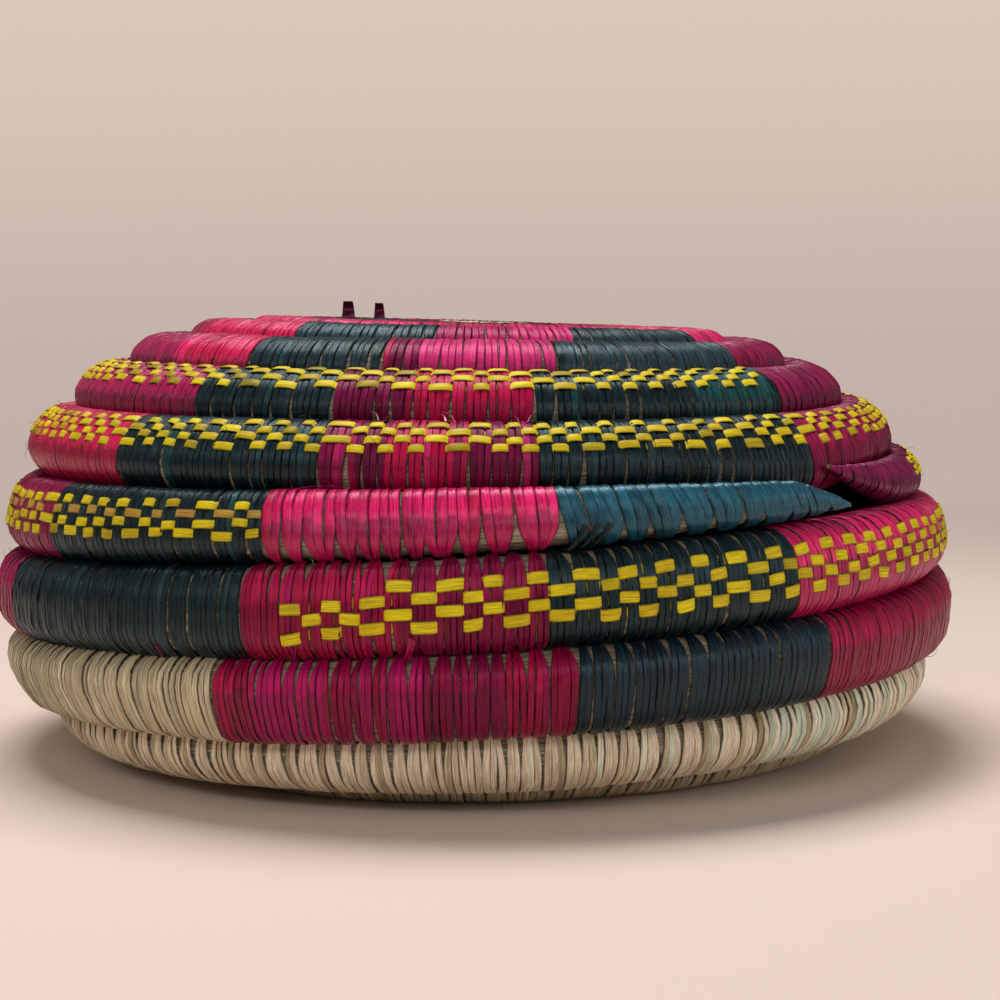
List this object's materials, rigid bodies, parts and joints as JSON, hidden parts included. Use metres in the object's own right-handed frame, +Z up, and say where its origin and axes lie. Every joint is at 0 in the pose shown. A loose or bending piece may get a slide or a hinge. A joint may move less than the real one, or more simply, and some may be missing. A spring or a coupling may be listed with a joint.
{
  "type": "lidded coiled basket",
  "caption": "Round coiled basket with a lift-off domed lid, sewn from wrapped grass coils with dyed strips and yellow weft bands.",
  "frame": {"origin": "middle of the flat base, on the surface that the basket stands on", "axes": "+Z up, along the basket's axis; the front, where the rim's coil ends at the right, faces -Y; +X to the right"},
  "size_m": [0.2802, 0.2805, 0.1307],
  "materials": {
    "natural_wrap": "dry undyed palm strip, matte with a slight sheen",
    "crimson_wrap": "dyed palm strip, satin",
    "magenta_wrap": "dyed palm strip, satin",
    "plum_wrap": "dyed palm strip, satin",
    "hot_pink_wrap": "dyed palm strip, satin",
    "navy_wrap": "dyed palm strip, satin",
    "teal_wrap": "dyed palm strip, satin",
    "blue_teal_wrap": "dyed palm strip, satin",
    "yellow_weft": "dyed palm strip, satin",
    "grass_foundation": "dry grass stalks, matte"
  },
  "bodies": {
    "basket": {"base_wrap_natural": "natural_wrap", "basket_foundation": "grass_foundation", "basket_weft_row_1": "yellow_weft", "basket_weft_row_2": "yellow_weft", "basket_weft_row_3": "yellow_weft", "basket_weft_row_4": "yellow_weft", "heel_wrap_natural": "natural_wrap", "rim_wrap_1_teal": "teal_wrap", "rim_wrap_2_hot_pink": "hot_pink_wrap", "rim_wrap_3_blue_teal": "blue_teal_wrap", "wall_wrap_01_crimson": "crimson_wrap", "wall_wrap_02_navy": "navy_wrap", "wall_wrap_03_crimson": "crimson_wrap", "wall_wrap_04_navy": "navy_wrap", "wall_wrap_05_magenta": "magenta_wrap", "wall_wrap_06_teal": "teal_wrap", "wall_wrap_07_crimson": "crimson_wrap", "wall_wrap_08_teal": "teal_wrap", "wall_wrap_09_hot_pink": "hot_pink_wrap", "wall_wrap_10_teal": "teal_wrap", "wall_wrap_11_magenta": "magenta_wrap"},
    "lid": {"lid_button_wrap_natural": "natural_wrap", "lid_foundation": "grass_foundation", "lid_strip_end_narrow": "plum_wrap", "lid_strip_end_wide": "plum_wrap", "lid_top_wrap_1_plum": "plum_wrap", "lid_top_wrap_2_teal": "teal_wrap", "lid_top_wrap_3_hot_pink": "hot_pink_wrap", "lid_weft_row_1": "yellow_weft", "lid_weft_row_2": "yellow_weft", "lid_weft_row_3": "yellow_weft", "lid_weft_row_4": "yellow_weft", "lid_wrap_11_teal": "teal_wrap", "lid_wrap_12_plum": "plum_wrap", "lid_wrap_13_teal": "teal_wrap", "lid_wrap_14_hot_pink": "hot_pink_wrap", "lid_wrap_15_teal": "teal_wrap", "lid_wrap_16_magenta": "magenta_wrap", "lid_wrap_21_teal": "teal_wrap", "lid_wrap_22_plum": "plum_wrap", "lid_wrap_23_teal": "teal_wrap", "lid_wrap_24_hot_pink": "hot_pink_wrap", "lid_wrap_25_teal": "teal_wrap", "lid_wrap_26_magenta": "magenta_wrap", "lid_wrap_31_teal": "teal_wrap", "lid_wrap_32_plum": "plum_wrap", "lid_wrap_33_teal": "teal_wrap", "lid_wrap_34_hot_pink": "hot_pink_wrap", "lid_wrap_35_teal": "teal_wrap", "lid_wrap_36_magenta": "magenta_wrap", "lid_wrap_41_teal": "teal_wrap", "lid_wrap_42_plum": "plum_wrap", "lid_wrap_43_teal": "teal_wrap", "lid_wrap_44_hot_pink": "hot_pink_wrap", "lid_wrap_45_teal": "teal_wrap", "lid_wrap_46_magenta": "magenta_wrap"}
  },
  "joints": [
    {"name": "lid_lift", "type": "slide", "parent": "basket", "child": "lid", "axis": [0, 0, 1], "range_m": [0, 0.15]}
  ]
}
